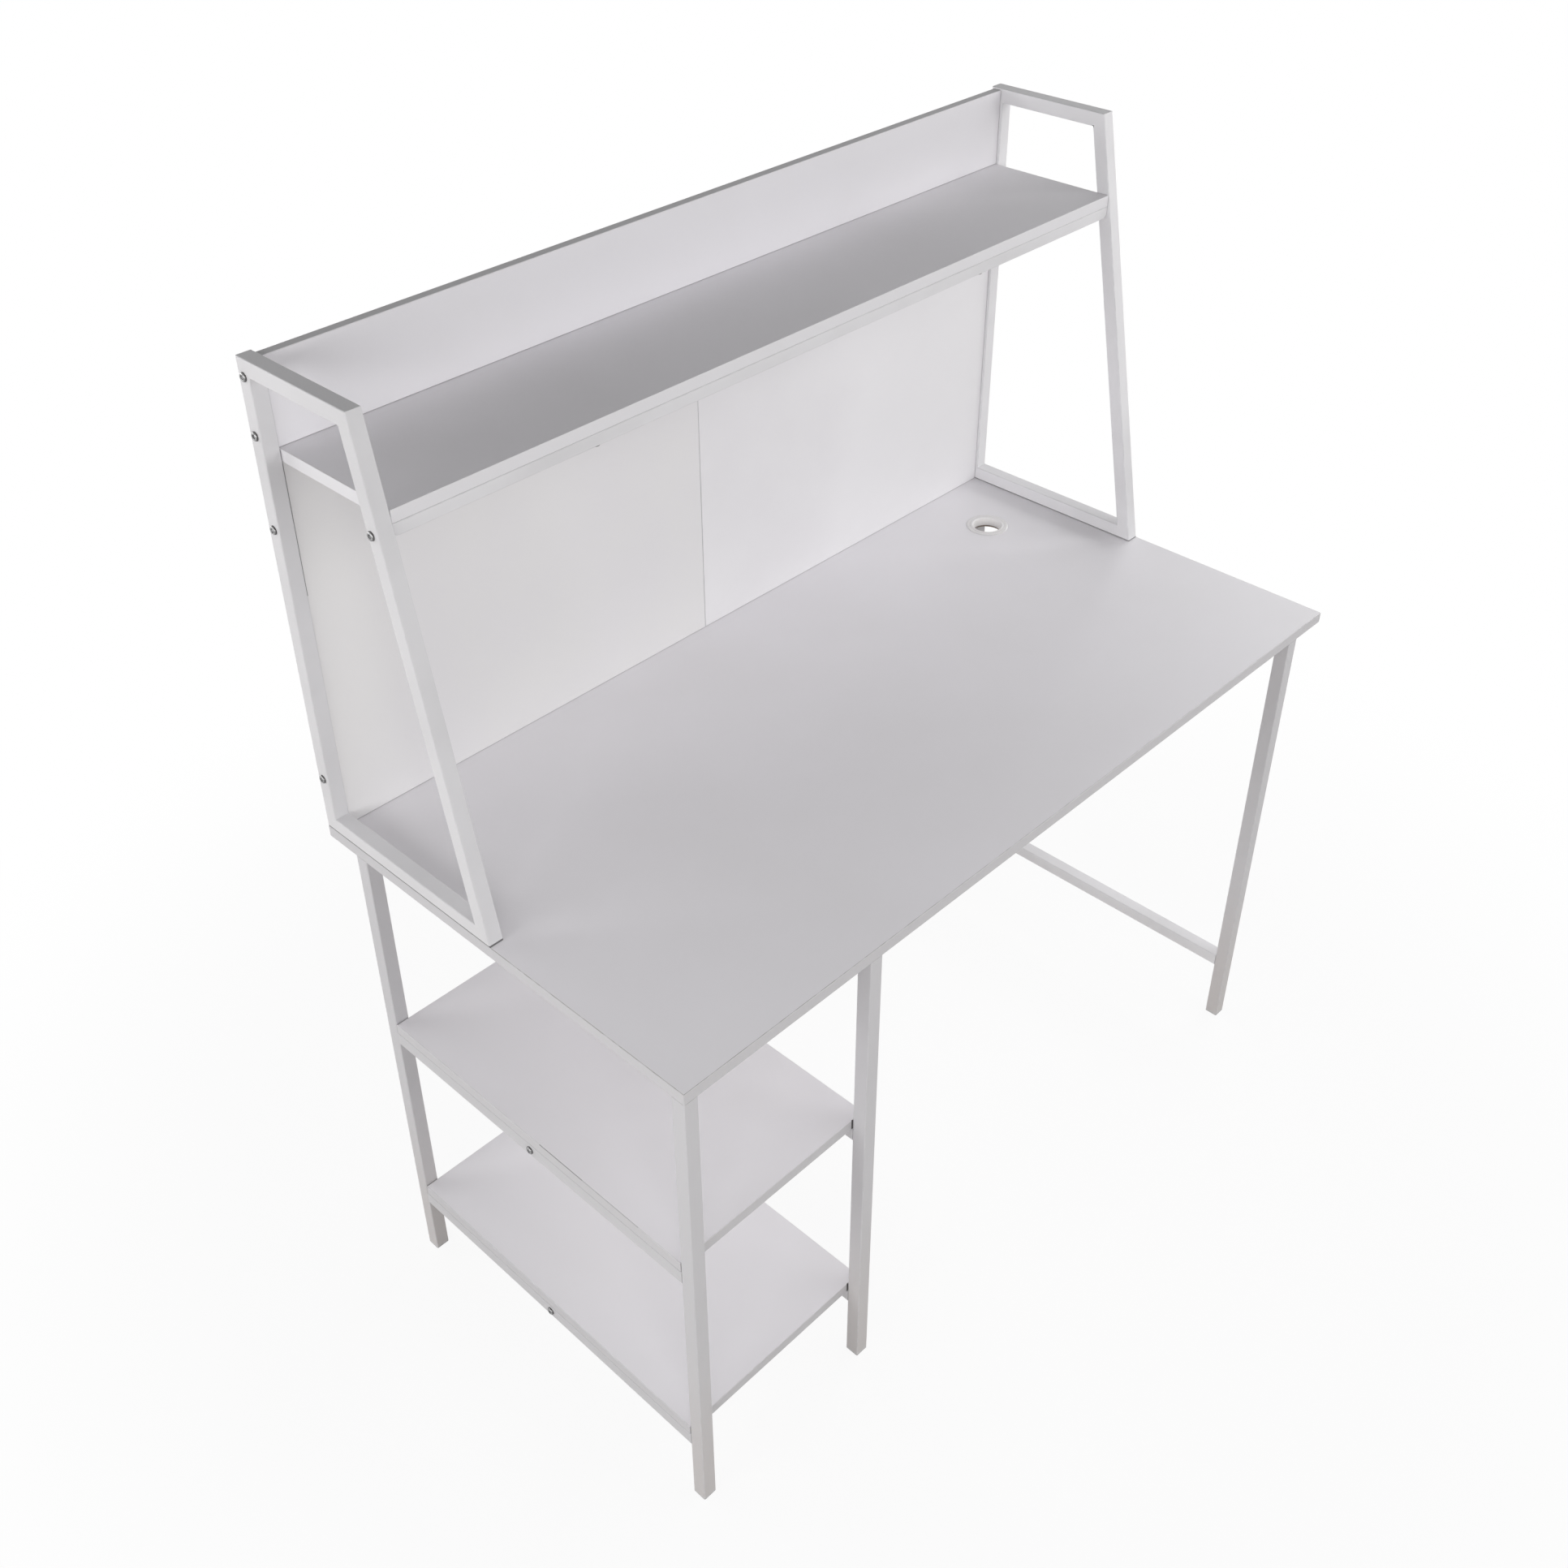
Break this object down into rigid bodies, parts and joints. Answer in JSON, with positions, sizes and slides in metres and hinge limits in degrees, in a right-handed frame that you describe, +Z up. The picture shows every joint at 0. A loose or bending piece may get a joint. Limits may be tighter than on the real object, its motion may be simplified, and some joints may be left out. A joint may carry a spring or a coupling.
{
  "type": "office desk",
  "caption": "Straight desk on square tube legs with an open shelf bay at one end and a hutch above: leaning side frames, a long shelf and back panels over the desktop.",
  "frame": {"origin": "on the floor, midway along the desktop's width and depth", "axes": "+X to the sitter's right, +Y from the sitter's side to the back panels, +Z up"},
  "size_m": [1.2066, 0.6, 1.305],
  "materials": {
    "white_board": "matte white laminate",
    "white_tube": "satin white powder coat",
    "grommet_plastic": "satin white",
    "foot_plastic": "matte white",
    "bolt_steel": "zinc plated",
    "insert_steel": "zinc plated",
    "plug_steel": "plain",
    "dowel_wood": "bare beech"
  },
  "bodies": {
    "root": {"back_panel_lower_left": "white_board", "back_panel_lower_right": "white_board", "back_panel_upper": "white_board", "back_stretcher": "white_tube", "back_stretcher_bolts": "bolt_steel", "bay_shelf_low": "white_board", "bay_shelf_mid": "white_board", "cable_grommet": "grommet_plastic", "desktop": "white_board", "foot_cap_left_back": "foot_plastic", "foot_cap_left_front": "foot_plastic", "foot_cap_middle_back": "foot_plastic", "foot_cap_middle_front": "foot_plastic", "foot_cap_right_back": "foot_plastic", "foot_cap_right_front": "foot_plastic", "hutch_back_upright_left": "white_tube", "hutch_back_upright_right": "white_tube", "hutch_foot_bar_left": "white_tube", "hutch_foot_bar_right": "white_tube", "hutch_front_upright_left": "white_tube", "hutch_front_upright_right": "white_tube", "hutch_mount_bolts": "bolt_steel", "hutch_mount_nuts": "insert_steel", "hutch_rail_bolts": "bolt_steel", "hutch_shelf": "white_board", "hutch_shelf_bolts": "bolt_steel", "hutch_shelf_rail": "white_tube", "hutch_top_bar_left": "white_tube", "hutch_top_bar_right": "white_tube", "leg_left_back": "white_tube", "leg_left_front": "white_tube", "leg_middle_back": "white_tube", "leg_middle_front": "white_tube", "leg_right_back": "white_tube", "leg_right_front": "white_tube", "leg_tab_left_back": "white_tube", "leg_tab_left_front": "white_tube", "leg_tab_middle_back": "white_tube", "leg_tab_middle_front": "white_tube", "leg_tab_right_back": "white_tube", "leg_tab_right_front": "white_tube", "leg_tab_screws": "bolt_steel", "panel_bolts": "bolt_steel", "panel_inserts": "insert_steel", "seam_dowels": "dowel_wood", "shelf_dowels": "dowel_wood", "shelf_screws": "bolt_steel", "shelf_stretcher_bolts": "bolt_steel", "shelf_stretcher_low": "white_tube", "shelf_stretcher_mid": "white_tube", "side_rail_left_low": "white_tube", "side_rail_left_mid": "white_tube", "side_rail_middle_low": "white_tube", "side_rail_middle_mid": "white_tube", "side_rail_right_low": "white_tube", "stretcher_plugs": "plug_steel"}
  },
  "joints": []
}
